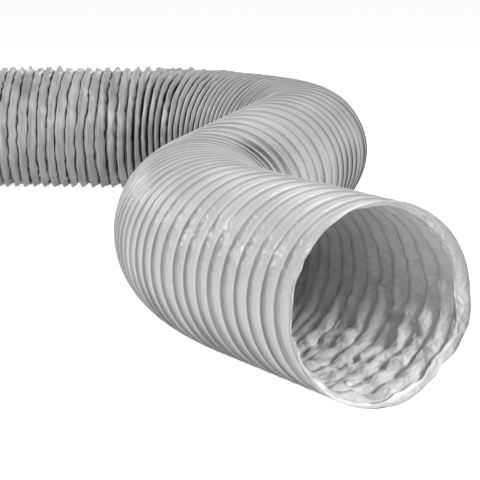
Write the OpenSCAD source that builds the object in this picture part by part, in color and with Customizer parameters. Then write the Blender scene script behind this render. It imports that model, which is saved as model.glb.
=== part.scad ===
// Flexible air duct: a spring wire helix between two plies of film, lying in an S.
// It is modelled as lengthwise sections. The stiff ones keep their shape and
// the flex ones between them take up the bending and the stretching.
// Frame: the far run lies along +X, +Z is up, and the duct lies on z = 0.

/* [Duct] */
// Clear bore of the inner ply
bore_d = 125; // [80:1:200]
// Thickness of the inner ply
inner_ply_wall = 0.4; // [0.3:0.1:1]
// Least thickness of the outer ply
outer_ply_wall = 0.5; // [0.3:0.1:1]
// Diameter of the spring wire
wire_d = 1.2; // [0.8:0.1:2]
// Clearance between the wire and each ply
ply_gap = 0.1; // [0.05:0.05:0.3]
// Height of each rib above the film between ribs
rib_height = 2.2; // [0.8:0.1:3]
// Plain film past the last turn of wire at each end
film_hem = 10; // [6:1:20]
// Clearance between the end faces of neighbouring sections
section_gap = 0.02; // [0.01:0.01:0.05]

/* [Route] */
// Straight run at the far end
far_run_length = 245; // [200:5:400]
// Radius of the far bend at the duct's axis
far_bend_radius = 200; // [180:5:300]
// Turn of the far bend, to the right
far_bend_angle = 99; // [80:1:110]
// Straight run between the bends
middle_run_length = 410; // [350:5:600]
// Radius of the near bend at the duct's axis
near_bend_radius = 355; // [250:5:450]
// Turn of the near bend, to the left
near_bend_angle = 40.5; // [35:0.5:60]
// Straight run at the mouth
mouth_run_length = 168; // [150:2:300]

/* [Sections] */
// Stiff section at the far end, hem left out
far_end_length = 72; // [60:1:100]
// Stretch of far run that draws out
far_stretch_length = 108; // [72:1:110]
// Part of the far bend that flexes
far_bend_flex_length = 180; // [144:1:216]
// Part of the middle run that flexes when the mouth is lifted
lift_flex_length = 144; // [108:1:180]
// Part of the near bend that flexes
near_bend_flex_length = 216; // [180:1:220]
// Stretch of mouth run that draws out
mouth_stretch_length = 72; // [54:1:75]
// Stiff section at the mouth, hem left out
mouth_end_length = 54; // [36:1:60]

/* [Winding] */
// Wanted distance between turns of the wire at the far end, where the duct is pushed together
far_end_pitch = 10.5; // [9:0.5:14]
// Distance between turns where the far run goes into its bend
far_run_pitch = 11.5; // [9:0.5:16]
// Distance between turns in the far bend
far_bend_pitch = 11.2; // [9:0.2:16]
// Distance between turns at the rear of the middle run
rear_run_pitch = 24; // [16:1:30]
// Distance between turns in the middle, where the duct is drawn out most
lift_flex_pitch = 36; // [20:1:40]
// Distance between turns at the front of the middle run
front_run_pitch = 30; // [16:1:36]
// Distance between turns in the near bend
near_bend_pitch = 15.4; // [12:0.2:20]
// Distance between turns at the mouth
mouth_pitch = 17.5; // [12:0.5:20]

/* [Hidden] */

// Sides of the outer ply and steps of each turn of wire
sides = 12;
// Rows of points for each rib: a crest and a valley
rib_rows = 2;

film_grey = [0.72, 0.72, 0.72];
liner_grey = [0.62, 0.62, 0.62];
wire_grey = [0.45, 0.45, 0.46];

// Radii. The many-sided pieces are measured at their corners, and side_scale takes a
// corner's radius to the middle of a side.
side_scale = cos(180 / sides);
bore_r = bore_d / 2;
inner_ply_r = bore_r + inner_ply_wall;
// The wire is three-sided, with the section area of the round wire.
wire_side = wire_d * sqrt(PI / sqrt(3));
wire_height = wire_side * sqrt(3) / 2;
wire_in_r = (inner_ply_r + ply_gap) / side_scale;
wire_out_r = wire_in_r + wire_height;
outer_ply_in_r = wire_out_r + ply_gap;
// The inner ply is round in the end sections, and elsewhere it has flat sides that clear
// the same bore and leave the same gap to the wire.
sided_bore_r = bore_r / side_scale;
sided_inner_ply_r = wire_in_r - ply_gap / side_scale;
valley_r = outer_ply_in_r + outer_ply_wall;
crest_r = valley_r + rib_height;
// Where the duct is pushed together, the film folds in between the turns of the wire.
fold_drop = wire_height;
axis_z = crest_r * side_scale;

// The route in pieces: [length, turn to the left in degrees].
route = [
    [far_run_length, 0],
    [far_bend_radius * far_bend_angle * PI / 180, -far_bend_angle],
    [middle_run_length, 0],
    [near_bend_radius * near_bend_angle * PI / 180, near_bend_angle],
    [mouth_run_length, 0]
];
function sum(v, i = 0) = i < len(v) ? v[i] + sum(v, i + 1) : 0;
function first_of(v, count, column) = sum([for (i = [0 : 1 : count - 1]) v[i][column]]);
function unit(heading) = [cos(heading), sin(heading)];
function left_of(heading) = [-sin(heading), cos(heading)];

// Where the axis goes: a point is found by walking the pieces before it.
piece_s = [for (i = [0 : len(route)]) first_of(route, i, 0)];
piece_heading = [for (i = [0 : len(route)]) first_of(route, i, 1)];
function piece_radius(i) = route[i][0] * 180 / PI / route[i][1];
function along(i, s) =
    let (from = piece_heading[i], turned = route[i][1] * s / route[i][0])
    route[i][1] == 0 ? s * unit(from) : piece_radius(i) * (left_of(from) - left_of(from + turned));
function start_of(i) = i == 0 ? [0, 0] : start_of(i - 1) + along(i - 1, route[i - 1][0]);
piece_start = [for (i = [0 : len(route)]) start_of(i)];
function piece_at(s) = max([for (i = [0 : len(route) - 1]) i == 0 || s >= piece_s[i] ? i : 0]);
function heading_at(s) =
    let (i = piece_at(s))
    piece_heading[i] + route[i][1] * (s - piece_s[i]) / route[i][0];
function axis_at(s) =
    let (i = piece_at(s))
    piece_start[i] + along(i, s - piece_s[i]);

// The part stands with the middle of its base at the origin. Its reach to each side of
// the axis is taken at even steps: the crest of a rib, or the plain film of a hem.
total_length = piece_s[len(route)];
reach_steps = 400;
reach_s = [for (i = [0 : reach_steps]) i * total_length / reach_steps];
function reach_r(s) = side_scale * (s < film_hem || s > total_length - film_hem ? valley_r : crest_r);
function reach(s) = reach_r(s) * [abs(sin(heading_at(s))), abs(cos(heading_at(s)))];
base_low = [for (k = [0, 1]) min([for (s = reach_s) axis_at(s)[k] - reach(s)[k]])];
base_high = [for (k = [0, 1]) max([for (s = reach_s) axis_at(s)[k] + reach(s)[k]])];
base_centre = (base_low + base_high) / 2;

// Sections run from hem to hem. The flex sections lie at the middle of their bends, and
// at the middle of the middle run.
SECTIONS = [
    "far_end", "far_stretch", "far_run", "far_bend", "rear_run", "lift_flex",
    "front_run", "near_bend", "mouth_run", "mouth_stretch", "mouth_end"
];
FOLDED = ["far_stretch", "far_run", "far_bend"];
function number_of(section_name) = search([section_name], SECTIONS)[0];
function is_folded(section_name) = len([for (name = FOLDED) if (name == section_name) name]) > 0;
function middle_of(i) = (piece_s[i] + piece_s[i + 1]) / 2;
last_section = len(SECTIONS) - 1;
cut_s = [
    film_hem,
    film_hem + far_end_length,
    film_hem + far_end_length + far_stretch_length,
    middle_of(1) - far_bend_flex_length / 2,
    middle_of(1) + far_bend_flex_length / 2,
    middle_of(2) - lift_flex_length / 2,
    middle_of(2) + lift_flex_length / 2,
    middle_of(3) - near_bend_flex_length / 2,
    middle_of(3) + near_bend_flex_length / 2,
    total_length - film_hem - mouth_end_length - mouth_stretch_length,
    total_length - film_hem - mouth_end_length,
    total_length - film_hem
];

// The winding: each section takes a whole number of turns.
wanted_pitch = [
    far_end_pitch, far_end_pitch, far_run_pitch, far_bend_pitch, rear_run_pitch, lift_flex_pitch,
    front_run_pitch, near_bend_pitch, mouth_pitch, mouth_pitch, mouth_pitch
];
section_turns = [for (i = [0 : last_section]) round((cut_s[i + 1] - cut_s[i]) / wanted_pitch[i])];
cuts = [for (i = [0 : last_section + 1]) sum([for (j = [0 : 1 : i - 1]) section_turns[j]])];
turns = cuts[last_section + 1];

// Between two cuts the pitch changes smoothly, from one cut's own pitch to the next one's.
function pitch_at(i) =
    let (before = max(i - 1, 0), after = min(i + 1, last_section + 1))
    (cut_s[after] - cut_s[before]) / (cuts[after] - cuts[before]);
function section_at(turn) = max([for (i = [0 : last_section]) turn >= cuts[i] ? i : 0]);
function s_of(turn) =
    let (
        i = section_at(turn),
        u = (turn - cuts[i]) / section_turns[i],
        swing = pitch_at(i) * (1 - u) - pitch_at(i + 1) * u
    )
    cut_s[i]
    + (cut_s[i + 1] - cut_s[i]) * u * u * (3 - 2 * u)
    + section_turns[i] * u * (1 - u) * swing;

// A section's ends along the axis. The hems belong to the end sections.
function start_s(section) = section == 0 ? 0 : cut_s[section] + section_gap / 2;
function end_s(section) =
    section == last_section ? total_length : cut_s[section + 1] - section_gap / 2;
function on_one_piece(section) = piece_at(start_s(section)) == piece_at(end_s(section));
function is_straight(section) = on_one_piece(section) && route[piece_at(start_s(section))][1] == 0;
// A smooth surface needs rows of points only where it bends: one row above the wire.
function smooth_rows(section) = is_straight(section) ? 0 : 1;

// A point at distance s along the axis, angle a round it from the left, and radius r.
function point(s, a, r) =
    let (p = axis_at(s) - base_centre + r * cos(a) * left_of(heading_at(s)))
    [p[0], p[1], axis_z + r * sin(a)];

// Columns of points run along the duct, with the middle of one side at the bottom.
// The helix is left-handed: its crest is at turn = whole number - share of column.
function share(column) = (column + 0.5) / sides;
function angle_of(column) = -90 + 360 * share(column);
function rib_share(phase) = abs(1 - 2 * (phase - floor(phase)));
function first_row(column, rows) = floor(rows * share(column)) + 1;
function last_row(section, rows) = rows * (cuts[section + 1] - cuts[section]) + 1;

// One surface of a ply: in each column an end point, its rows along the helix and an end point.
function surface_points(section, rows, r, rib) =
    let (last = last_row(section, rows))
    [
        for (column = [0 : sides - 1])
            for (row = [0 : last])
                let (
                    steps = row - 1 + first_row(column, rows),
                    t = row == 0 ? cuts[section]
                        : row == last ? cuts[section + 1]
                        : cuts[section] + steps / rows - share(column),
                    s = row == 0 ? start_s(section) : row == last ? end_s(section) : s_of(t),
                    rise = s == 0 || s == total_length ? 0 : rib * rib_share(t + share(column))
                )
                point(s, angle_of(column), r + rise)
    ];

// Triangles of that surface. Where the helix has moved on by a row, the next column lags by one.
function lag(column, rows) =
    column < sides - 1
        ? first_row(column + 1, rows) - first_row(column, rows)
        : rows + first_row(0, rows) - first_row(column, rows);
function triangle(a, b, c) = a == b || b == c || a == c ? [] : [[a, b, c]];
function quad(a, b, c, d) = concat(triangle(a, b, c), triangle(a, c, d));
function surface_faces(section, rows, first, outward) =
    let (last = last_row(section, rows))
    [
        for (column = [0 : sides - 1])
            let (
                here = first + column * (last + 1),
                next = first + ((column + 1) % sides) * (last + 1),
                behind = rows == 0 ? 0 : lag(column, rows)
            )
            for (row = [0 : last - 1 + behind])
                let (
                    a = here + min(row, last),
                    b = here + min(row + 1, last),
                    c = next + max(row + 1 - behind, 0),
                    d = next + max(row - behind, 0)
                )
                each outward ? quad(a, b, c, d) : quad(d, c, b, a)
    ];

// The square end faces between an outer surface and the inner one that follows it.
function end_faces(section, outer_rows, inner_rows) =
    let (
        outer_last = last_row(section, outer_rows),
        inner_last = last_row(section, inner_rows),
        inner_first = sides * (outer_last + 1)
    )
    [
        for (column = [0 : sides - 1])
            let (
                next = (column + 1) % sides,
                a = column * (outer_last + 1),
                b = next * (outer_last + 1),
                c = inner_first + next * (inner_last + 1),
                d = inner_first + column * (inner_last + 1)
            )
            each concat(
                quad(a, b, c, d),
                quad(d + inner_last, c + inner_last, b + outer_last, a + outer_last)
            )
    ];

// A many-sided tube along one section of the route. Its bore is smooth if inner_rib is 0.
module sided_tube(section, outer_rows, outer_r, outer_rib, inner_r, inner_rib) {
    inner_rows = inner_rib == 0 ? smooth_rows(section) : outer_rows;
    outer_points = surface_points(section, outer_rows, outer_r, outer_rib);
    polyhedron(
        points = concat(outer_points, surface_points(section, inner_rows, inner_r, inner_rib)),
        faces = concat(
            surface_faces(section, outer_rows, 0, true),
            surface_faces(section, inner_rows, len(outer_points), false),
            end_faces(section, outer_rows, inner_rows)
        )
    );
}

module outer_ply(section_name) {
    section = number_of(section_name);
    drop = is_folded(section_name) ? fold_drop : 0;
    color(film_grey)
        sided_tube(section, rib_rows, valley_r - drop, rib_height + drop, outer_ply_in_r - drop, drop);
}

// The wire's three corners at one step of the winding. A section's wire ends in the
// middle of a side, just short of the next section's.
function wire_ring(turn) =
    let (
        a = -90 - 360 * turn,
        corner_scale = abs(turn - round(turn)) < 0.25 / sides ? side_scale : 1,
        s = s_of(turn)
    )
    [
        point(s, a, wire_out_r * corner_scale),
        point(s - wire_side / 2, a, wire_in_r * corner_scale),
        point(s + wire_side / 2, a, wire_in_r * corner_scale)
    ];
function wire_steps(section) =
    let (
        t0 = cuts[section],
        t1 = cuts[section + 1],
        end_share = section_gap / 2 / (2 * PI * wire_in_r)
    )
    concat(
        [t0 + end_share],
        [for (i = [1 : sides * (t1 - t0)]) t0 + (i - 0.5) / sides],
        [t1 - end_share]
    );

module wire(section_name) {
    section = number_of(section_name);
    rings = [for (turn = wire_steps(section)) wire_ring(turn)];
    last = len(rings) - 1;
    color(wire_grey)
        polyhedron(
            points = [for (ring = rings) each ring],
            faces = concat(
                [[0, 1, 2]],
                [
                    for (i = [0 : last - 1], k = [0 : 2])
                        let (a = 3 * i + k, b = 3 * i + (k + 1) % 3)
                        each quad(a, a + 3, b + 3, b)
                ],
                [[3 * last + 2, 3 * last + 1, 3 * last]]
            )
        );
}

module inner_ply(section_name) {
    section = number_of(section_name);
    color(liner_grey)
        sided_tube(section, smooth_rows(section), sided_inner_ply_r, 0, sided_bore_r, 0);
}

// The end sections lie on the straight runs, and take a round spigot.
module end_inner_ply(section_name) {
    section = number_of(section_name);
    from = start_s(section);
    color(liner_grey)
        translate(point(from, 0, 0))
            rotate([90, 0, heading_at(from) + 90])
                linear_extrude(height = end_s(section) - from)
                    difference() {
                        circle(r = inner_ply_r, $fn = 96);
                        circle(r = bore_r, $fn = 96);
                    }
}

// Least gap between neighbouring turns of the wire, measured on its corner points.
function turn_gap(turn) =
    let (a = wire_ring(turn), b = wire_ring(turn + 1))
    min([for (p = a, q = b) norm(p - q)]);
echo(least_gap = min([for (i = [1 : 2 : sides * (turns - 1)]) turn_gap((i - 0.5) / sides)]));
echo(turns = turns, length = total_length, axis_z = axis_z, crest_r = crest_r);

outer_ply("far_end");  // far_end_outer_ply
wire("far_end");  // far_end_wire
end_inner_ply("far_end");  // far_end_inner_ply
outer_ply("far_stretch");  // far_stretch_outer_ply
wire("far_stretch");  // far_stretch_wire
inner_ply("far_stretch");  // far_stretch_inner_ply
outer_ply("far_run");  // far_run_outer_ply
wire("far_run");  // far_run_wire
inner_ply("far_run");  // far_run_inner_ply
outer_ply("far_bend");  // far_bend_outer_ply
wire("far_bend");  // far_bend_wire
inner_ply("far_bend");  // far_bend_inner_ply
outer_ply("rear_run");  // rear_run_outer_ply
wire("rear_run");  // rear_run_wire
inner_ply("rear_run");  // rear_run_inner_ply
outer_ply("lift_flex");  // lift_flex_outer_ply
wire("lift_flex");  // lift_flex_wire
inner_ply("lift_flex");  // lift_flex_inner_ply
outer_ply("front_run");  // front_run_outer_ply
wire("front_run");  // front_run_wire
inner_ply("front_run");  // front_run_inner_ply
outer_ply("near_bend");  // near_bend_outer_ply
wire("near_bend");  // near_bend_wire
inner_ply("near_bend");  // near_bend_inner_ply
outer_ply("mouth_run");  // mouth_run_outer_ply
wire("mouth_run");  // mouth_run_wire
inner_ply("mouth_run");  // mouth_run_inner_ply
outer_ply("mouth_stretch");  // mouth_stretch_outer_ply
wire("mouth_stretch");  // mouth_stretch_wire
inner_ply("mouth_stretch");  // mouth_stretch_inner_ply
outer_ply("mouth_end");  // mouth_end_outer_ply
wire("mouth_end");  // mouth_end_wire
end_inner_ply("mouth_end");  // mouth_end_inner_ply
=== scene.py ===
"""Flexible air duct: two plies of film over a spring wire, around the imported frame.

The duct is one tube that lies along an S. A point of it is given by its distance s along
the axis, its share c of the way round, which starts at the bottom, and its radius r. The
angle a says the same as c, in radians and from the left of the axis' direction. The wire
is the line where (turns of wire up to s) + c is a whole number.

Left and right of the mouth are meant as the camera sees them, from the front.
"""

import itertools
import math
from types import SimpleNamespace

import bpy
import numpy as np
from mathutils import Matrix, Vector


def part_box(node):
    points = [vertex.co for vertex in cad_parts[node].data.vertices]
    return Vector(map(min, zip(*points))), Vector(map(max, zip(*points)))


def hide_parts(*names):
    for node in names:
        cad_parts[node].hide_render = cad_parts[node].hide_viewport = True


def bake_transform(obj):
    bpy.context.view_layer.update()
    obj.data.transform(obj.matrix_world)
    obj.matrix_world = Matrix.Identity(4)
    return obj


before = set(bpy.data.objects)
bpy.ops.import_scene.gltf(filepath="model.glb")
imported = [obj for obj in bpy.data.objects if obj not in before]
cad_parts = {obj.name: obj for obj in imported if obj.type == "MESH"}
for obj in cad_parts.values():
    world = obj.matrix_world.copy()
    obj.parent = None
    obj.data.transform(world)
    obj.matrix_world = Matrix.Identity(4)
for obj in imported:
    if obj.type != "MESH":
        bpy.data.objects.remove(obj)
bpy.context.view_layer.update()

# ---------------------------------------------------------------- sizes, in metres

FAR_RUN = 0.245
FAR_BEND_RADIUS = 0.200
FAR_BEND_TURN = math.radians(-99)
MIDDLE_RUN = 0.410
NEAR_BEND_RADIUS = 0.355
NEAR_BEND_TURN = math.radians(40.5)
MOUTH_RUN = 0.168

HEM = 0.010
FAR_END = 0.072
FAR_STRETCH = 0.108
FAR_BEND_FLEX = 0.180
LIFT_FLEX = 0.144
NEAR_BEND_FLEX = 0.216
MOUTH_STRETCH = 0.072
MOUTH_END = 0.054

WIRE_RADIUS = 0.0006
PLY_THICKNESS = 0.00025
CREST_RADIUS = 0.0670  # of the outer film where it lies over the wire
FOOT_CLEAR = 0.0001

SECTIONS = [
    "far_end", "far_stretch", "far_run", "far_bend", "rear_run", "lift_flex",
    "front_run", "near_bend", "mouth_run", "mouth_stretch", "mouth_end",
]
SECTION_TURNS = np.array([7, 10, 12, 16, 9, 4, 5, 14, 3, 4, 3])

# A stiff section has a body of its own. A flex section lies between its neighbours'
# bodies, and its blend reaches this far beyond it, at its start and at its end.
REACH = {
    "far_stretch": (0.045, 0),
    "far_bend": (0.072, 0.072),
    "lift_flex": (0, 0),
    "near_bend": (0.050, 0.030),
    "mouth_stretch": (0, 0.045),
}

# ---------------------------------------------------------------- route

ROUTE = [
    (FAR_RUN, 0.0),
    (FAR_BEND_RADIUS * abs(FAR_BEND_TURN), FAR_BEND_TURN),
    (MIDDLE_RUN, 0.0),
    (NEAR_BEND_RADIUS * abs(NEAR_BEND_TURN), NEAR_BEND_TURN),
    (MOUTH_RUN, 0.0),
]
piece_s = np.cumsum([0.0] + [length for length, _ in ROUTE])
piece_heading = np.cumsum([0.0] + [turn for _, turn in ROUTE])
total_length = piece_s[-1]

# Where the sections are cut along the axis, and after how many turns of wire.
middle = (piece_s[:-1] + piece_s[1:]) / 2
cut_s = np.array([
    HEM,
    HEM + FAR_END,
    HEM + FAR_END + FAR_STRETCH,
    middle[1] - FAR_BEND_FLEX / 2,
    middle[1] + FAR_BEND_FLEX / 2,
    middle[2] - LIFT_FLEX / 2,
    middle[2] + LIFT_FLEX / 2,
    middle[3] - NEAR_BEND_FLEX / 2,
    middle[3] + NEAR_BEND_FLEX / 2,
    total_length - HEM - MOUTH_END - MOUTH_STRETCH,
    total_length - HEM - MOUTH_END,
    total_length - HEM,
])
cuts = np.concatenate([[0], np.cumsum(SECTION_TURNS)])
turns = int(cuts[-1])

end_low, end_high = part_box("far_end_inner_ply")
axis_z = (end_low.z + end_high.z) / 2
start_point = np.array([end_low.x, (end_low.y + end_high.y) / 2])


def left_of(heading):
    return np.stack([-np.sin(heading), np.cos(heading)], -1)


def along(i, s):
    """Where piece i of the route has got to after s, from its own start."""
    length, turn = ROUTE[i]
    heading = piece_heading[i]
    s = np.asarray(s, float)
    if turn == 0:
        return s[..., None] * np.array([math.cos(heading), math.sin(heading)])
    return length / turn * (left_of(heading) - left_of(heading + turn * s / length))


piece_start = [start_point]
for i, (length, _) in enumerate(ROUTE):
    piece_start.append(piece_start[-1] + along(i, length))


def axis_at(s):
    """Point, heading and curvature (to the left) of the axis at s."""
    s = np.asarray(s, float)
    point = np.zeros(s.shape + (2,))
    heading = np.zeros(s.shape)
    curvature = np.zeros(s.shape)
    for i, (length, turn) in enumerate(ROUTE):
        low = -math.inf if i == 0 else piece_s[i]
        high = math.inf if i == len(ROUTE) - 1 else piece_s[i + 1]
        here = (s >= low) & (s < high)
        t = s[here] - piece_s[i]
        point[here] = piece_start[i] + along(i, t)
        heading[here] = piece_heading[i] + turn * t / length
        curvature[here] = turn / length
    return point, heading, curvature


def angle_of(c):
    return 2 * math.pi * (c - 0.25)


def tube_point(s, c, r):
    """The point at s along the axis, share c round from the bottom, and radius r."""
    a = angle_of(c)
    point, heading, _ = axis_at(s)
    flat = point + (r * np.cos(a))[..., None] * left_of(heading)
    return np.concatenate([flat, (axis_z + r * np.sin(a))[..., None]], -1)


def pitch_at_cuts():
    before = np.maximum(np.arange(len(cuts)) - 1, 0)
    after = np.minimum(np.arange(len(cuts)) + 1, len(cuts) - 1)
    return (cut_s[after] - cut_s[before]) / (cuts[after] - cuts[before])


def s_of(turn):
    """Where the winding has got to after so many turns. Its pitch changes smoothly."""
    turn = np.asarray(turn, float)
    i = np.clip(np.searchsorted(cuts, turn, side="right") - 1, 0, len(SECTIONS) - 1)
    u = (turn - cuts[i]) / SECTION_TURNS[i]
    slope = pitch_at_cuts()
    within = (
        cut_s[i]
        + (cut_s[i + 1] - cut_s[i]) * u * u * (3 - 2 * u)
        + SECTION_TURNS[i] * u * (1 - u) * (slope[i] * (1 - u) - slope[i + 1] * u)
    )
    before = cut_s[0] + turn * slope[0]
    past = cut_s[-1] + (turn - turns) * slope[-1]
    return np.where(turn < 0, before, np.where(turn > turns, past, within))


def pitch_near(turn):
    return s_of(turn + 0.5) - s_of(turn - 0.5)


# ---------------------------------------------------------------- curves and patterns

HASH_PRIMES = np.array([73856093, 19349663, 83492791])
SEED_PRIME = 6700417
MIX_PRIMES = (1274126177, 668265263)
HASH_MASK = 0x7FFFFFFF
NOISE_START = 100  # wavelengths
CREASE_ROUND = 0.0004
CREASE_SCALE = 0.75
TILT = np.array(Matrix.Rotation(0.6, 3, "X") @ Matrix.Rotation(0.9, 3, "Z"))
FINER = 0.6  # size and strength of a second set of facets, against the first
SECOND_SEED = 50
FACET_SCALE = 3.0


def smooth(x):
    x = np.clip(x, 0, 1)
    return x * x * (3 - 2 * x)


def rise(x, start, length):
    """0 up to start, and from there smoothly up to 1 over this length."""
    return smooth((x - start) / length)


def below(x, start, length):
    """0 down to start, and from there smoothly up to 1 as x falls by this length."""
    return smooth((start - x) / length)


def hump(x, centre, width):
    return np.exp(-(((x - centre) / width) ** 2))


def noise(p, wavelength, seed, soft=True):
    """Seeded noise from -1 to 1 at points p: smooth, or in flat facets with sharp edges."""
    q = p / wavelength + NOISE_START
    whole = np.floor(q).astype(np.int64)
    part = q - whole
    if soft:
        part = part * part * (3 - 2 * part)
    total = np.zeros(p.shape[:-1])
    for corner in itertools.product((0, 1), repeat=3):
        h = (whole + corner) @ HASH_PRIMES + seed * SEED_PRIME
        h = (h ^ (h >> 13)) * MIX_PRIMES[0] & HASH_MASK
        h = (h ^ (h >> 16)) * MIX_PRIMES[1] & HASH_MASK
        weight = np.prod(np.where(corner, part, 1 - part), -1)
        total += weight * (h / (HASH_MASK >> 1) - 1)
    return total


def creases(p, wavelength, seed):
    """Noise with sharp ridges, from about -1 to 1."""
    n = noise(p, wavelength, seed)
    return 1 - 2 * np.sqrt(n * n + CREASE_ROUND) / CREASE_SCALE


def facets(p, wavelength, seed):
    """Foil-like crumples from about -1 to 1: flat facets that meet in sharp lines."""
    first = noise(p @ TILT, wavelength, seed, soft=False)
    second = noise(p @ TILT.T, wavelength * FINER, seed + SECOND_SEED, soft=False)
    return np.abs(first + FINER * second) * FACET_SCALE - 1.0


# Kind, how much it is squeezed along the duct, wavelength in metres, and seed.
PATTERNS = {
    "lean": (noise, 2, 0.030, 1),
    "far_lean": (facets, 3, 0.013, 6),
    "wander": (noise, 4, 0.075, 2),
    "depth": (noise, 2, 0.050, 3),
    "fold_depth": (noise, 4, 0.025, 12),
    "pleats": (creases, 8, 0.030, 4),
    "far_crumples": (facets, 2, 0.022, 5),
    "fins": (facets, 4, 0.016, 18),
    "rubbed": (facets, 1, 0.013, 16),
    "rubbed_fine": (facets, 1, 0.006, 22),
    "rubbed_tone": (facets, 2, 0.014, 24),
    "hem": (facets, 1, 0.028, 10),
    "hem_fine": (facets, 1, 0.014, 15),
    "edge": (facets, 0, 0.034, 11),
    "slack": (noise, 2, 0.035, 8),
    "slack_creases": (creases, 0.5, 0.018, 9),
    "wrinkles": (facets, 0.7, 0.022, 17),
    "wrinkles_fine": (facets, 1.4, 0.011, 13),
    "flank_shade": (noise, 4, 0.060, 23),
    "grime": (noise, 16, 0.045, 19),
    "grime_lines": (creases, 20, 0.040, 20),
    "plain_lines": (creases, 12, 0.050, 21),
}


def pattern(name, s, a):
    """A seeded pattern that runs round the duct, at s along it and angle a."""
    kind, squeeze, wavelength, seed = PATTERNS[name]
    p = np.stack([CREST_RADIUS * np.cos(a), CREST_RADIUS * np.sin(a), s * squeeze], -1)
    return kind(p, wavelength, seed)


def bumps(name, s, a):
    """The same pattern from 0 to 1."""
    return (0.5 + 0.5 * pattern(name, s, a)).clip(0, 1)


# ---------------------------------------------------------------- places on the duct

# Where a change begins along the duct, and over what length it comes about.
FAR_FADE = (0.28, 0.16)
PLAIN_FADE_IN = (0.42, 0.12)
PLAIN_FADE_OUT = (1.02, 0.10)
UPPER_LEFT_FADE = (1.18, 0.10)
MOUTH_FADE = (total_length - 0.30, 0.20)

# Angle and width round the duct.
UPPER_LEFT = (2.62, 0.36)
LEFT = (math.pi, 0.7)
LOW_RIGHT = (-0.7, 0.6)

CORNER_S = 1.01
CORNER_LENGTH = 0.078
CORNER_ANGLE = 0.66  # up from the axis' left, which is the near bend's inner side
CORNER_WIDTH = 0.60
CORNER_SHARE = 0.25 + CORNER_ANGLE / (2 * math.pi)
SMALL_FOLD = 0.0075  # spacing of the small folds there

WANDER = 0.0015
FAR_WANDER = 0.0004


def far_share(s):
    """1 in the far run, where the film is crumpled, streaked with grime and has painted
    shade in its creases, else 0.
    """
    return 1 - rise(s, *FAR_FADE)


def between_bends(s):
    """1 in the middle run, where the duct is drawn out, else 0."""
    return rise(s, *PLAIN_FADE_IN) * (1 - rise(s, *PLAIN_FADE_OUT))


def rubbed(s, a):
    """1 along the upper left near the mouth, where the film is crumpled and has patches of
    painted highlight.
    """
    return hump(a, *UPPER_LEFT) * rise(s, *UPPER_LEFT_FADE)


def inner_corner(s, a):
    """1 where the inner side is pushed together at the start of the near bend, else 0."""
    off_s = (s - CORNER_S) / CORNER_LENGTH
    off_angle = (a - CORNER_ANGLE) / CORNER_WIDTH
    return np.exp(-(off_s ** 2) - off_angle ** 2)


def small_folds(turn, phase, early=0.0):
    """1 at the bottom of each small fold of the corner, a whole number of them a turn."""
    at_corner = turn + 0.5 - CORNER_SHARE
    count = np.maximum(np.round(pitch_near(at_corner) / SMALL_FOLD), 1)
    return 0.5 - 0.5 * np.cos(2 * math.pi * count * phase + early)


def wander(s, a):
    """How far the wire strays along the duct, each turn for itself, from an even helix."""
    return (WANDER + FAR_WANDER * far_share(s)) * pattern("wander", s, a)


# ---------------------------------------------------------------- layout of the film

# Rows of each turn, from one wire to the next. 0.5 is the bottom of the fold between them.
TURN_ROWS = np.array([
    0, 0.022, 0.055, 0.10, 0.165, 0.245, 0.335, 0.42, 0.465,
    0.5, 0.535, 0.58, 0.665, 0.755, 0.835, 0.90, 0.945, 0.978,
])
# The same, with more rows after the bottom for the small folds of the corner.
MORE_ROWS = np.concatenate([TURN_ROWS[:10], np.linspace(0.5, 0.945, 20)[1:], TURN_ROWS[-1:]])
BEND_STEPS = np.linspace(-0.05, 0.05, 5)  # the folds take up a bend over this length

# Start and length of the change from plain film, from each end and from each wire.
RIBS_FADE = (-0.002, 0.012)
SMALL_FORMS_FADE = (0, 0.003)

# As the pitch of the wires falls below the first value, and by the second, the film comes
# to lie in folds, the folds become plain, and they get painted shade.
FOLDED_PITCH = (0.0160, 0.0040)
NARROW_PITCH = (0.0105, 0.0030)
PINCHED_PITCH = (0.0112, 0.0020)

# The film is lowest at this share of the way from a wire to the next one.
LEAN = 0.24
FOLDED_LEAN = 0.08
FAR_LEAN = 0.38
NARROW_LEAN = 0.18
LEAN_CHANGE = 0.04
FAR_LEAN_CHANGE = 0.06
FAR_LEAN_CRUMPLES = 0.09
LEAN_LIMITS = (0.14, 0.88)

CREST_ROUND = 0.0006  # how blunt the film's edge over a wire is


def film_grid(first_turn, last_turn, turn_rows, columns):
    """Where the points of a film are, with rows along the helix and columns round it."""
    whole = np.arange(first_turn, last_turn)
    g = SimpleNamespace(row_t=(whole[:, None] + turn_rows[None, :]).ravel())
    t, g.c = np.meshgrid(g.row_t, np.linspace(0, 1, columns + 1), indexing="ij")
    g.turn = np.floor(t)
    g.share = t - g.turn
    g.first_half = g.share < 0.5
    g.s = s_of(t - g.c)
    g.a = angle_of(g.c)
    return g


def find_places(g):
    """How much each point belongs to each place on the duct."""
    g.far = far_share(g.s)
    g.plain = between_bends(g.s)
    g.mouth = rise(g.s, *MOUTH_FADE)
    g.left = hump(np.abs(g.a), *LEFT)
    g.low_right = hump(g.a, *LOW_RIGHT)
    g.rubbed = rubbed(g.s, g.a)
    g.corner = inner_corner(g.s, g.a)
    g.wired = rise(g.s, *RIBS_FADE) * rise(total_length - g.s, *RIBS_FADE)


def find_pitch(g):
    """How close the wires are at each point, with the bends' inner and outer sides."""
    curvature = np.mean([axis_at(g.s + step)[2] for step in BEND_STEPS], axis=0)
    spread = 1 - curvature * CREST_RADIUS * np.cos(g.a)
    g.pitch = pitch_near(g.turn + 0.5 - g.c) * spread
    g.folded = below(g.pitch, *FOLDED_PITCH)
    g.narrow = below(g.pitch, *NARROW_PITCH)
    g.pinched = below(g.pitch, *PINCHED_PITCH)


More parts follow.
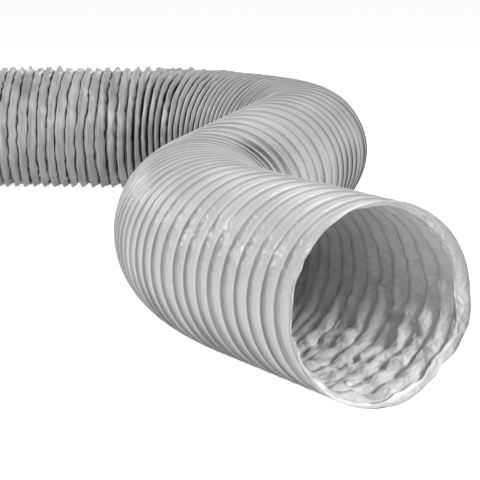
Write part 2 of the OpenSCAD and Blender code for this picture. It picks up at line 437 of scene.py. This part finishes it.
def lean_of_folds(g):
    """Where the film lies lowest between its two wires: soon after the first, or late."""
    lean = LEAN + FOLDED_LEAN * g.folded + FAR_LEAN * g.far
    lean += NARROW_LEAN * g.narrow * (1 - g.far)
    lean += (LEAN_CHANGE + FAR_LEAN_CHANGE * g.far) * pattern("lean", g.s, g.a)
    lean += FAR_LEAN_CRUMPLES * g.far * pattern("far_lean", g.s, g.a)
    return np.clip(lean, *LEAN_LIMITS)


def find_way(g):
    """How far each point is from its wire, and its share of the way down to the bottom."""
    lean = lean_of_folds(g)
    before_bottom = g.share * 2 * lean
    after_bottom = lean + (g.share - 0.5) * 2 * (1 - lean)
    g.phase = np.where(g.first_half, before_bottom, after_bottom)
    g.to_wire = np.where(g.first_half, g.phase, 1 - g.phase) * g.pitch
    span = np.where(g.first_half, lean, 1 - lean) * g.pitch
    way = np.sqrt(g.to_wire ** 2 + CREST_ROUND ** 2) - CREST_ROUND
    g.way = np.clip(way / (np.sqrt(span ** 2 + CREST_ROUND ** 2) - CREST_ROUND), 0, 1)
    g.between = rise(g.to_wire, *SMALL_FORMS_FADE) * g.wired


# ---------------------------------------------------------------- shape of the film

TAUT_DEPTH = 0.0014
TAUT_SAG = 0.055  # more depth, as a share of the pitch
FOLDED_DEPTH = 0.0064
PLAIN_DEPTH = 0.0008  # more depth between the bends
CORNER_DEPTH = 0.0012  # less depth in the corner, beside its small folds
DEPTH_LIMIT = 0.0006
DEPTH_LIMIT_SHARE = 0.80  # more of it, as a share of the pitch
DEPTH_CHANGE = 0.15
FOLDED_DEPTH_CHANGE = 0.10
FOLD_DEPTH_CHANGE = 0.20

CREASE_FROM = 0.86  # share of the way down, where a crease turns steep
CREASE_FLAT = 0.50
CREASE_STEEP = 4.07
PLAIN_CREASE_POWER = 1.5
PLAIN_CREASE_SHARE = 0.7

SMALL_FOLD_DEPTH = 0.0046
SMALL_FOLD_POWER = 0.7
PLEATS = 0.00016
FOLDED_PLEATS = 0.00042
FAR_CRUMPLES = 0.0005
FIN_HEIGHT = 0.0010  # of loose film that stands up at the far wires
FIN_CHANGE = 0.0030
FIN_WIDTH = 0.0009
UPPER_LEFT_CRUMPLES = 0.00045
UPPER_LEFT_FINE = 0.00035

HEM_FADE = 0.016
# Everywhere, more at the left, and more at the lower right.
HEM_CRUMPLES = (0.0002, 0.0016, 0)
HEM_FINE = (0.0001, 0.0003, 0.0006)
EDGE_SHARES = (0.1, 1.0, 0.4)
EDGE_DEPTH = 0.0075
LIP_HEIGHT = 0.0026
LIP_PLACE = (-0.30, 0.22)
DENT_DEPTH = 0.0018
DENT_PLACE = (-0.72, 0.14)

SLACK = 0.0010
HOLLOW_SLACK = 0.0018
SLACK_CHANGE = 0.0010
SLACK_CREASES = 0.0012
WRINKLES = 0.0020
WRINKLES_FINE = 0.0011
LOW_SHARE = 0.65  # of the wrinkles halfway up; there are more of them lower down
LOW_SWING = 0.45
LOW_ANGLE = 0.4
UNDER_WIRE = 2.2  # wire radii from ply to ply


def depth_of_folds(g):
    """How deep the film lies between its wires."""
    depth = TAUT_DEPTH + TAUT_SAG * g.pitch
    depth += (FOLDED_DEPTH - depth) * g.folded
    depth += PLAIN_DEPTH * g.plain - CORNER_DEPTH * g.corner
    depth = np.minimum(depth, DEPTH_LIMIT + DEPTH_LIMIT_SHARE * g.pitch)
    depth *= 1 + (DEPTH_CHANGE + FOLDED_DEPTH_CHANGE * g.folded) * pattern("depth", g.s, g.a)
    return depth * (1 + FOLD_DEPTH_CHANGE * g.folded * pattern("fold_depth", g.s, g.a))


def shape_of_folds(g):
    """Share of the depth: taut film sags in a hollow, folded film lies in a crease."""
    g.hollow = np.sin(math.pi / 2 * g.way)
    flat = CREASE_FLAT * g.way
    steep = CREASE_FLAT * CREASE_FROM + (g.way - CREASE_FROM) * CREASE_STEEP
    crease = np.where(g.way < CREASE_FROM, flat, steep)
    plain_share = np.maximum(g.narrow, (1 - g.far) * PLAIN_CREASE_SHARE)
    crease += (g.way ** PLAIN_CREASE_POWER - crease) * plain_share
    return g.hollow + (crease - g.hollow) * g.folded


def add_small_forms(r, g):
    """Small folds, pleats along the ribs, crumples between them and fins of loose film."""
    small = small_folds(g.turn, g.phase) ** SMALL_FOLD_POWER
    r -= SMALL_FOLD_DEPTH * g.corner * small * g.between
    r += g.between * (PLEATS + FOLDED_PLEATS * g.folded) * pattern("pleats", g.s, g.a)
    r += g.between * g.far * FAR_CRUMPLES * pattern("far_crumples", g.s, g.a)
    fins = FIN_HEIGHT + FIN_CHANGE * bumps("fins", g.s, g.a)
    r += np.exp(-g.to_wire / FIN_WIDTH) * g.wired * g.far * fins
    r += g.between * g.rubbed * UPPER_LEFT_CRUMPLES * pattern("rubbed", g.s, g.a)
    r += g.between * g.rubbed * UPPER_LEFT_FINE * pattern("rubbed_fine", g.s, g.a)
    return r


def by_side(g, everywhere, left, low_right):
    return everywhere + left * g.left + low_right * g.low_right


def add_hem(r, g):
    """The plain hem at the mouth is crumpled, and stands out at the lower right."""
    hem = smooth(1 - (total_length - g.s) / HEM_FADE)
    r += hem * by_side(g, *HEM_CRUMPLES) * pattern("hem", g.s, g.a)
    r += hem * by_side(g, *HEM_FINE) * pattern("hem_fine", g.s, g.a)
    r += hem * LIP_HEIGHT * hump(g.a, *LIP_PLACE)
    r -= hem * DENT_DEPTH * hump(g.a, *DENT_PLACE)
    return r


def add_slack(r, g):
    """The inner film hangs loose inside the mouth, most of all low down, and wrinkles."""
    low = LOW_SHARE - LOW_SWING * np.sin(g.a + LOW_ANGLE)
    loose = SLACK + HOLLOW_SLACK * g.hollow + SLACK_CHANGE * pattern("slack", g.s, g.a)
    loose += SLACK_CREASES * low * pattern("slack_creases", g.s, g.a)
    loose -= WRINKLES * low * pattern("wrinkles", g.s, g.a)
    loose -= WRINKLES_FINE * low * pattern("wrinkles_fine", g.s, g.a)
    r -= g.between * g.mouth * loose.clip(0, 1)
    r -= (PLY_THICKNESS + UNDER_WIRE * WIRE_RADIUS * (1 - g.between)) * g.wired
    return r


def film_points(g, inner):
    """The points of a film, up to the uneven edge that it is cut to at the mouth."""
    r = CREST_RADIUS - depth_of_folds(g) * shape_of_folds(g) * g.wired
    r = add_small_forms(r, g)
    r = add_hem(r, g)
    if inner:
        r = add_slack(r, g)
    cut_back = EDGE_DEPTH * g.mouth * bumps("edge", g.s, g.a) * by_side(g, *EDGE_SHARES)
    s = s_of(g.turn + g.phase - g.c) + wander(g.s, g.a)
    s = np.clip(s, 0, total_length - cut_back)
    points = tube_point(s, g.c, r)
    points[..., 2] = np.maximum(points[..., 2], FOOT_CLEAR)
    return points


# ---------------------------------------------------------------- tone of the film: painted shade and highlights, and grime

# A place is a start and a length, or a centre and a width: shares of the way down from a
# wire, of the way to the next wire (SHADE), or metres from a wire (GROOVE and BRIGHT).
# Painted shade and light of the inner film: painted shade at the bottoms of its folds
# (INNER_FOLD), on the mouth side of each wire, which faces deeper in (SHADE), and in the
# groove at the wire (GROOVE), and a painted light rim on the deep side of each wire
# (BRIGHT).
INNER_FOLD = 0.25
INNER_FOLD_PLACE = (0.60, 0.30)
SHADE = 0.26
SHADE_PLACE = (0.30, 0.16)
GROOVE = 0.25
GROOVE_PLACE = (0.0008, 0.0008)
BRIGHT = 0.12
BRIGHT_PLACE = (0.0012, 0.0010)

# Painted shade of the outer film: in the far run's creases, at the bottoms of folds, in
# pinched folds and in the gaps between the corner's small folds.
CREASE = 0.92
CREASE_PLACE = (0.80, 0.13)
FOLD = 0.32
FOLD_PLACE = (0.40, 0.40)
PINCH = 0.88
PINCH_PLACE = (0.34, 0.28)
GAP = 0.86  # painted shade between small folds; its place is a share of their depth
GAP_PLACE = (0.10, 0.24)
GAP_SPREAD = 1.25
GAP_EARLY = 0.40  # radians by which the painted shade of a small fold comes before its bottom

# Painted shade on the mouth-facing flank after each wire, over the lap where the strip lies
# double, and a darker painted shade line next to the wire.
FLANK_SHADE = 0.24
FLANK_SHADE_SWING = 0.18  # less of it high up
PLAIN_FLANK_SHADE = 0.32
PLAIN_FLANK_SHADE_TOP = 0.24
FLANK_SHADE_CHANGE = 0.6
SHADE_LINE = 0.18
TOP_SHADE_LINE = 0.24
SHADE_LINE_CENTRE = 0.0013
SHADE_LINE_WIDTH = 0.0007
TOP_SHADE_LINE_WIDTH = 0.0004

# Painted highlights: along the crest over each wire, stronger between the bends and where
# pinched, on the tops of the corner's small folds, and in patches on the crumpled film at
# the upper left. The far run is a little darker.
CREST_PLACE = (0, 0.10)
CREST_HIGHLIGHT = 0.15
PLAIN_CREST_HIGHLIGHT = 0.12
PINCHED_CREST_HIGHLIGHT = 0.15
FAR_DARKER = 0.08
CORNER_LIGHT = 0.45
CORNER_LIGHT_PLACE = (0, 0.14)
CRUMPLE_HIGHLIGHT = 0.14
CRUMPLE_HIGHLIGHT_LEAST = -0.4

GRIME = 0.16
GRIME_LINES = 0.14
PLAIN_LINES = 0.05

CRUMPLED = 0.25
MORE_CRUMPLED = 0.75
MOUTH_CRUMPLED = 0.8
LEFT_CRUMPLED = 0.3


def tone_of_inner_film(g):
    """How light the inner film is: painted shade after each wire, with a painted light rim
    before it.
    """
    shade = SHADE * (1 - rise(g.phase, *SHADE_PLACE)) * (1 - g.far)
    groove = GROOVE * hump(g.to_wire, *GROOVE_PLACE) * (g.phase < 0.5)
    bright = BRIGHT * hump(g.to_wire, *BRIGHT_PLACE) * (g.phase > 0.5)
    fold = INNER_FOLD * g.folded * rise(g.way, *INNER_FOLD_PLACE)
    return 1 - fold - shade - groove + bright


def painted_flank_shade(g, crest):
    """Painted shade on the mouth-facing flank after each wire, where the strip is double,
    and a darker painted shade line by the wire.
    """
    top = np.sin(g.a).clip(0, 1)
    after_wire = g.first_half * (1 - g.far)
    flank_shade = after_wire * (1 - smooth(g.way)) * (1 - crest)
    flank_shade *= FLANK_SHADE - FLANK_SHADE_SWING * np.sin(g.a) + (PLAIN_FLANK_SHADE - PLAIN_FLANK_SHADE_TOP * top) * g.plain
    flank_shade *= 1 + FLANK_SHADE_CHANGE * pattern("flank_shade", g.s, g.a)
    shade_line = after_wire * hump(g.to_wire, SHADE_LINE_CENTRE, SHADE_LINE_WIDTH + TOP_SHADE_LINE_WIDTH * top)
    shade_line *= SHADE_LINE + TOP_SHADE_LINE * np.maximum(top, g.plain)
    return flank_shade + shade_line


def painted_shade(g, crest, small):
    """How dark the painted shade of the outer film is, by whichever of its marks is the
    darkest.
    """
    crease = CREASE * rise(g.way, *CREASE_PLACE) * g.far * g.folded
    fold = FOLD * rise(g.way, *FOLD_PLACE) * (1 - g.far) * g.folded
    pinch = PINCH * rise(g.way, *PINCH_PLACE) * g.pinched
    gap = GAP * smooth(g.corner * GAP_SPREAD) * rise(small, *GAP_PLACE)
    return np.maximum.reduce([crease, fold, pinch, gap, painted_flank_shade(g, crest)])


def painted_highlights(g, crest, small):
    """How light the outer film is: painted highlights over the wires, on the corner's small
    folds and in patches at the upper left, and darker in the far run.
    """
    light = (CREST_HIGHLIGHT + PLAIN_CREST_HIGHLIGHT * g.plain + PINCHED_CREST_HIGHLIGHT * g.pinched) * crest
    light -= FAR_DARKER * g.far
    light += CORNER_LIGHT * g.corner * (1 - rise(small, *CORNER_LIGHT_PLACE))
    patches = pattern("rubbed_tone", g.s, g.a).clip(CRUMPLE_HIGHLIGHT_LEAST, 1)
    light += CRUMPLE_HIGHLIGHT * g.rubbed * patches
    return light


def streaks(g):
    """Lines of grime along the ribs, strong in the far run."""
    far = GRIME * pattern("grime", g.s, g.a) + GRIME_LINES * pattern("grime_lines", g.s, g.a)
    return g.far * far + PLAIN_LINES * (1 - g.far) * pattern("plain_lines", g.s, g.a)


def tone_of_outer_film(g):
    # Painted shade and painted highlights, with streaks of grime.
    crest = 1 - rise(g.way, *CREST_PLACE)
    small = small_folds(g.turn, g.phase, GAP_EARLY)
    return 1 - painted_shade(g, crest, small) + painted_highlights(g, crest, small) + streaks(g)


def film(inner, first_turn, last_turn, turn_rows, columns):
    """Points, tones and crumples of a film, and the turns of wire up to each of its rows."""
    g = film_grid(first_turn, last_turn, turn_rows, columns)
    find_places(g)
    find_pitch(g)
    find_way(g)
    points = film_points(g, inner)
    tone = tone_of_inner_film(g) if inner else tone_of_outer_film(g)
    tone = 1 + (tone - 1) * g.wired
    at_mouth = g.mouth * MOUTH_CRUMPLED * (inner + LEFT_CRUMPLED * g.left)
    crumpled = CRUMPLED + MORE_CRUMPLED * np.maximum(g.rubbed, at_mouth)
    return points, tone, crumpled, g.row_t


# ---------------------------------------------------------------- meshes

WELD_STEPS = 1e6  # to the metre; points on the same step are one vertex
NO_LENGTH = 1e-12


def weld(points):
    """The first grid point at each different place, and for each grid point its place."""
    keys = np.round(points.reshape(-1, 3) * WELD_STEPS).astype(np.int64)
    _, first, back = np.unique(keys, axis=0, return_index=True, return_inverse=True)
    return first, back.ravel()


def grid_faces(rows, columns, outward):
    """Two triangles for each cell of the grid, by grid point."""
    index = np.arange(rows * columns).reshape(rows, columns)
    a, b = index[:-1, :-1], index[:-1, 1:]
    c, d = index[1:, 1:], index[1:, :-1]
    faces = np.stack([np.stack([a, d, c], -1), np.stack([a, c, b], -1)], -2)
    return faces if outward else faces[..., ::-1]


def vertex_normals(vertices, faces):
    p = vertices[faces]
    across = np.cross(p[:, 1] - p[:, 0], p[:, 2] - p[:, 0])
    normals = np.zeros_like(vertices)
    for k in range(3):
        for axis in range(3):
            normals[:, axis] += np.bincount(faces[:, k], across[:, axis], len(vertices))
    return normals / np.maximum(np.linalg.norm(normals, axis=1, keepdims=True), NO_LENGTH)


def add_object(name, data):
    added = bpy.data.objects.new(name, data)
    bpy.context.scene.collection.objects.link(added)
    return added


def make_mesh(name, vertices, faces, normals, marks, uv, material):
    used, back = np.unique(faces, return_inverse=True)
    mesh = bpy.data.meshes.new(name)
    mesh.from_pydata(vertices[used].tolist(), [], back.reshape(faces.shape).tolist())
    mesh.materials.append(material)
    mesh.polygons.foreach_set("use_smooth", [True] * len(mesh.polygons))
    mesh.uv_layers.new(name="OFBake").uv.foreach_set("vector", uv.astype(np.float32).ravel())
    for mark, values in marks.items():
        mesh.attributes.new(mark, "FLOAT", "POINT").data.foreach_set("value", values[used])
    mesh.normals_split_custom_set_from_vertices(normals[used].tolist())
    mesh.update()
    return add_object(name, mesh)


# ---------------------------------------------------------------- materials

FILM_IOR = 1.5
FILM_PATCHES = 28  # scale of a texture, in waves to the metre
FILM_CRUMPLES = 170
FILM_GRAIN = 300
WIRE_GRAIN = 900
GRAIN_HEIGHT = 0.25
BUMP_HEIGHT = 0.0013
PATCH_ENDS = (0.3, 0.7)
PATCH_TONES = (0.93, 1.05)
WIRE_GREY = (0.55, 0.55, 0.56, 1)
WIRE_ROUGHNESS = (0.25, 0.45)


def texture(nodes, links, where, kind, scale, detail=None):
    """A texture node at these coordinates."""
    node = nodes.new(kind)
    node.inputs["Scale"].default_value = scale
    if detail is not None:
        node.inputs["Detail"].default_value = detail
    links.new(where, node.inputs["Vector"])
    return node


def mesh_value(nodes, name):
    """A value that the mesh has at each of its points."""
    node = nodes.new("ShaderNodeAttribute")
    node.attribute_name = name
    return node.outputs["Fac"]


def mottled_colour(nodes, links, where, colour):
    """The colour in soft patches, lighter and darker, times the mesh's own tone, which holds
    the painted shade and highlights.
    """
    patches = texture(nodes, links, where, "ShaderNodeTexNoise", FILM_PATCHES, 4)
    ramp = nodes.new("ShaderNodeValToRGB")
    for i in range(2):
        element = ramp.color_ramp.elements[i]
        element.position = PATCH_ENDS[i]
        element.color = (*[v * PATCH_TONES[i] for v in colour], 1)
    links.new(patches.outputs["Fac"], ramp.inputs["Fac"])
    toned = nodes.new("ShaderNodeVectorMath")
    toned.operation = "SCALE"
    links.new(ramp.outputs["Color"], toned.inputs[0])
    links.new(mesh_value(nodes, "tone"), toned.inputs["Scale"])
    return toned.outputs[0]


def crumpled_normal(nodes, links, where):
    """Fine crumples and grain of the surface, strongest where the mesh is crumpled."""
    crumple = texture(nodes, links, where, "ShaderNodeTexVoronoi", FILM_CRUMPLES)
    crumple.feature = "DISTANCE_TO_EDGE"
    grain = texture(nodes, links, where, "ShaderNodeTexNoise", FILM_GRAIN, 3)
    rough = nodes.new("ShaderNodeMath")
    rough.operation = "MULTIPLY_ADD"
    rough.inputs[1].default_value = GRAIN_HEIGHT
    links.new(grain.outputs["Fac"], rough.inputs[0])
    links.new(crumple.outputs["Distance"], rough.inputs[2])
    bump = nodes.new("ShaderNodeBump")
    bump.inputs["Distance"].default_value = BUMP_HEIGHT
    links.new(mesh_value(nodes, "crumpled"), bump.inputs["Strength"])
    links.new(rough.outputs[0], bump.inputs["Height"])
    return bump.outputs["Normal"]


def new_material(name):
    """A material, its nodes and links, and the object's own coordinates in it."""
    material = bpy.data.materials.new(name)
    material.use_nodes = True
    nodes, links = material.node_tree.nodes, material.node_tree.links
    return material, nodes, links, nodes.new("ShaderNodeTexCoord").outputs["Object"]


def film_material(name, colour, roughness):
    material, nodes, links, where = new_material(name)
    shader = nodes["Principled BSDF"]
    shader.inputs["Roughness"].default_value = roughness
    shader.inputs["IOR"].default_value = FILM_IOR
    links.new(mottled_colour(nodes, links, where, colour), shader.inputs["Base Color"])
    links.new(crumpled_normal(nodes, links, where), shader.inputs["Normal"])
    return material


def wire_material():
    """Drawn steel, with fine changes of gloss."""
    material, nodes, links, where = new_material("spring_wire")
    shader = nodes["Principled BSDF"]
    shader.inputs["Metallic"].default_value = 1
    shader.inputs["Base Color"].default_value = WIRE_GREY
    drawn = texture(nodes, links, where, "ShaderNodeTexNoise", WIRE_GRAIN)
    spread = nodes.new("ShaderNodeMapRange")
    spread.inputs["To Min"].default_value = WIRE_ROUGHNESS[0]
    spread.inputs["To Max"].default_value = WIRE_ROUGHNESS[1]
    links.new(drawn.outputs["Fac"], spread.inputs["Value"])
    links.new(spread.outputs["Result"], shader.inputs["Roughness"])
    return material


outer_film = film_material("outer_film", (0.50, 0.50, 0.50), 0.38)
# The inner film is the same grey film as the outer one. Its lighter grey is painted light,
# for the light that comes through the thin film and into the mouth.
inner_film = film_material("inner_film", (0.70, 0.70, 0.70), 0.36)
spring_wire = wire_material()

# ---------------------------------------------------------------- pieces

RIM_POINTS = 49
STEP_POINTS = 9
RIM_CLEAR = 0.001
ROW_CLEAR = 1e-6
UV_MARGIN = 0.01
FINE, COARSE, HIDDEN = 416, 208, 104  # columns round a film
WIRE_STEPS = 48  # along each turn
WIRE_SIDES = 6


def rim_points(turn):
    """A section's end, which follows the helix once round and steps back along it."""
    r = np.full(RIM_POINTS, CREST_RADIUS + RIM_CLEAR)
    c = np.linspace(0, 1, RIM_POINTS)
    once_round = tube_point(s_of(turn - c), c, r)
    step = np.linspace(0, 1, STEP_POINTS)
    stepped = tube_point(s_of(turn - step), np.zeros(STEP_POINTS), r[:STEP_POINTS])
    return np.concatenate([once_round, stepped])


def flex_span(k):
    """Start and end of a flex section's blend: clear of its rims, and then its reach."""
    reach_before, reach_after = REACH[SECTIONS[k]]
    first, last = cuts[k], cuts[k + 1]
    rim_centres = s_of(np.array([first, last]) - 0.5)
    start, end = tube_point(rim_centres, np.zeros(2), np.zeros(2))
    way = end - start
    way /= np.linalg.norm(way)
    blend_start = max((rim_points(first) - start) @ way) - reach_before
    blend_end = min((rim_points(last) - start) @ way) + reach_after
    return tuple(start + way * blend_start), tuple(start + way * blend_end)


flex_ends = {name: flex_span(k) for k, name in enumerate(SECTIONS) if name in REACH}


def attach(piece, k, ply):
    """Hide the CAD part of section k and ply that this piece stands for, and bake the
    piece's transform.
    """
    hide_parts(f"{SECTIONS[k]}_{ply}")
    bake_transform(piece)


def film_pieces(side, material, sections, turn_rows, columns):
    """The inner or outer film from one section to another, cut into its sections."""
    inner = side == "inner"
    first_turn = int(cuts[sections[0]]) - 1
    last_turn = int(cuts[sections[-1] + 1]) + 2
    points, tone, crumpled, row_t = film(inner, first_turn, last_turn, turn_rows, columns)
    first, vertex_of = weld(points)
    vertices = points.reshape(-1, 3)[first]
    marks = {"tone": tone.ravel()[first], "crumpled": crumpled.ravel()[first]}
    cells = grid_faces(len(row_t), columns + 1, not inner)
    normals = vertex_normals(vertices, vertex_of[cells.reshape(-1, 3)])
    for k in sections:
        low = -1 if k == 0 else cuts[k]
        high = turns + 2 if k == len(SECTIONS) - 1 else cuts[k + 1]
        rows = (row_t[:-1] > low - ROW_CLEAR) & (row_t[:-1] < high - ROW_CLEAR)
        grid = cells[rows].reshape(-1, 3)
        faces = vertex_of[grid]
        closed = (faces == np.roll(faces, 1, axis=1)).any(1)
        grid, faces = grid[~closed], faces[~closed]
        along_u = (row_t[grid // (columns + 1)] - low) / (high - low)
        round_v = (grid % (columns + 1)) / columns
        uv = np.stack([along_u, round_v], -1) * (1 - 2 * UV_MARGIN) + UV_MARGIN
        name = f"{SECTIONS[k]}_{side}_film"
        piece = make_mesh(name, vertices, faces, normals, marks, uv, material)
        attach(piece, k, f"{side}_ply")


film_pieces("outer", outer_film, range(6), TURN_ROWS, COARSE)
film_pieces("outer", outer_film, range(6, 8), MORE_ROWS, COARSE)
film_pieces("outer", outer_film, range(8, 11), TURN_ROWS, FINE)
film_pieces("inner", inner_film, range(4), TURN_ROWS, COARSE)
film_pieces("inner", inner_film, range(4, 6), TURN_ROWS, HIDDEN)
film_pieces("inner", inner_film, range(6, 8), MORE_ROWS, COARSE)
film_pieces("inner", inner_film, range(8, 11), TURN_ROWS, FINE)


def wire_line(k):
    """Points along section k's wire, and the directions out of the duct and across."""
    first, last = cuts[k], cuts[k + 1]
    turn = np.linspace(first, last, WIRE_STEPS * (last - first) + 1)
    c = np.where(turn == first, 1.0, np.ceil(turn) - turn)
    s = s_of(turn)
    s = s + wander(s, angle_of(c))
    r = CREST_RADIUS - PLY_THICKNESS - WIRE_RADIUS
    line = tube_point(s, c, np.full(turn.shape, r))
    line[:, 2] = np.maximum(line[:, 2], FOOT_CLEAR + PLY_THICKNESS + WIRE_RADIUS)
    tangent = np.gradient(line, axis=0)
    tangent /= np.linalg.norm(tangent, axis=1, keepdims=True)
    out = line - tube_point(s, c, np.zeros(turn.shape))
    out -= (out * tangent).sum(1, keepdims=True) * tangent
    out /= np.linalg.norm(out, axis=1, keepdims=True)
    return line, out, np.cross(tangent, out)


def tube_faces(steps):
    """Quads along a tube of this many steps, and a cap at each end."""
    i = np.arange(steps)[:, None] * WIRE_SIDES
    j = np.arange(WIRE_SIDES)[None, :]
    n = (j + 1) % WIRE_SIDES
    quads = np.stack([i + j, i + n, i + n + WIRE_SIDES, i + j + WIRE_SIDES], -1)
    start_cap = list(range(WIRE_SIDES))[::-1]
    end_cap = [steps * WIRE_SIDES + x for x in range(WIRE_SIDES)]
    return quads.reshape(-1, 4).tolist() + [start_cap, end_cap]


def wire_piece(k):
    """A round tube along the wire's helix, with the same wander as the film's ribs."""
    line, out, side = wire_line(k)
    angle = np.arange(WIRE_SIDES) * 2 * math.pi / WIRE_SIDES
    outward = np.cos(angle)[None, :, None] * out[:, None]
    sideways = np.sin(angle)[None, :, None] * side[:, None]
    vertices = (line[:, None] + WIRE_RADIUS * (outward + sideways)).reshape(-1, 3)
    mesh = bpy.data.meshes.new(f"{SECTIONS[k]}_spring")
    mesh.from_pydata(vertices.tolist(), [], tube_faces(len(line) - 1))
    mesh.materials.append(spring_wire)
    mesh.polygons.foreach_set("use_smooth", [True] * len(mesh.polygons))
    mesh.update()
    return add_object(f"{SECTIONS[k]}_spring", mesh)


for k in range(len(SECTIONS)):
    piece = wire_piece(k)
    attach(piece, k, "wire")

# ---------------------------------------------------------------- camera

LENS_PIXELS = 1993
IMAGE_PIXELS = 480
SENSOR_WIDTH = 36
CAMERA_PITCH = 0.165
CAMERA_TURN = 0.053
CAMERA_AT = (0.2043, -1.7676, 0.3152)

camera_data = bpy.data.cameras.new("camera")
camera_data.sensor_width = SENSOR_WIDTH
camera_data.lens = LENS_PIXELS / IMAGE_PIXELS * SENSOR_WIDTH
camera = add_object("camera", camera_data)
camera.location = CAMERA_AT
camera.rotation_euler = (math.pi / 2 - CAMERA_PITCH, 0, CAMERA_TURN)
bpy.context.scene.camera = camera

# ---------------------------------------------------------------- stage and light

FLOOR_HALF = 30
FLOOR_GREY = (0.8, 0.8, 0.8, 1)
FLOOR_GLOW = 0.9
WORLD_LIGHT = 0.09
WORLD_SEEN = 1
WHITE = (1, 1, 1, 1)


def seen_directly(nodes, links):
    """1 for rays from the camera, a mirror or clear matter, which see a white ground."""
    path = nodes.new("ShaderNodeLightPath")
    share = path.outputs["Is Camera Ray"]
    for kind in ("Is Glossy Ray", "Is Transmission Ray"):
        both = nodes.new("ShaderNodeMath")
        both.operation = "MAXIMUM"
        links.new(share, both.inputs[0])
        links.new(path.outputs[kind], both.inputs[1])
        share = both.outputs[0]
    return share


def shader_node(nodes, kind, colour, strength=None):
    node = nodes.new(kind)
    node.inputs["Color"].default_value = colour
    if strength is not None:
        node.inputs["Strength"].default_value = strength
    return node.outputs[0]


def show_two(nodes, links, lit, seen, output_kind):
    """One shader for the light that reaches the duct, and another for what is seen."""
    mixed = nodes.new("ShaderNodeMixShader")
    links.new(seen_directly(nodes, links), mixed.inputs[0])
    links.new(lit, mixed.inputs[1])
    links.new(seen, mixed.inputs[2])
    links.new(mixed.outputs[0], nodes.new(output_kind).inputs["Surface"])


def floor_material():
    """Light grey, and so bright for the camera that it is white."""
    material = bpy.data.materials.new("floor")
    material.use_nodes = True
    nodes, links = material.node_tree.nodes, material.node_tree.links
    nodes.clear()
    grey = shader_node(nodes, "ShaderNodeBsdfDiffuse", FLOOR_GREY)
    glow = shader_node(nodes, "ShaderNodeEmission", WHITE, FLOOR_GLOW)
    added = nodes.new("ShaderNodeAddShader")
    links.new(grey, added.inputs[0])
    links.new(glow, added.inputs[1])
    show_two(nodes, links, grey, added.outputs[0], "ShaderNodeOutputMaterial")
    return material


def light_world():
    """A little light from all round, behind a ground that is seen as white."""
    world = bpy.data.worlds.new("world")
    bpy.context.scene.world = world
    world.use_nodes = True
    nodes, links = world.node_tree.nodes, world.node_tree.links
    nodes.clear()
    lit = shader_node(nodes, "ShaderNodeBackground", WHITE, WORLD_LIGHT)
    seen = shader_node(nodes, "ShaderNodeBackground", WHITE, WORLD_SEEN)
    show_two(nodes, links, lit, seen, "ShaderNodeOutputWorld")


def softbox(name, at, aim, size, power):
    data = bpy.data.lights.new(name, "AREA")
    data.shape = "SQUARE"
    data.size = size
    data.energy = power
    lamp = add_object(name, data)
    lamp.location = at
    lamp.rotation_euler = (Vector(aim) - Vector(at)).to_track_quat("-Z", "Y").to_euler()


corners = [(-1, -1), (1, -1), (1, 1), (-1, 1)]
floor_points = [(x * FLOOR_HALF, y * FLOOR_HALF, 0) for x, y in corners]
floor_mesh = bpy.data.meshes.new("floor")
floor_mesh.from_pydata(floor_points, [], [(0, 1, 2, 3)])
floor_mesh.materials.append(floor_material())
floor = add_object("floor", floor_mesh)

light_world()
softbox("left", (-1.0, -0.5, 0.9), (0.0, -0.3, 0.06), 0.4, 14.2)
softbox("above", (0.3, -0.2, 1.25), (0.12, -0.1, 0.06), 0.4, 2.6)
softbox("behind", (-0.2, 1.8, 0.9), (0.0, 0.4, 0.06), 0.6, 5.0)
softbox("left_back", (-1.3, 0.2, 0.6), (0.0, -0.3, 0.06), 0.4, 1.9)
softbox("right_back", (1.3, 0.0, 0.6), (0.1, 0.0, 0.06), 0.5, 4.0)
softbox("right", (1.1, -1.1, 0.9), (0.1, -0.2, 0.06), 0.4, 1.6)
softbox("mouth", (0.75, -1.15, 0.45), (0.32, -0.50, 0.05), 0.25, 9.2)

bpy.context.scene.view_settings.view_transform = "Standard"
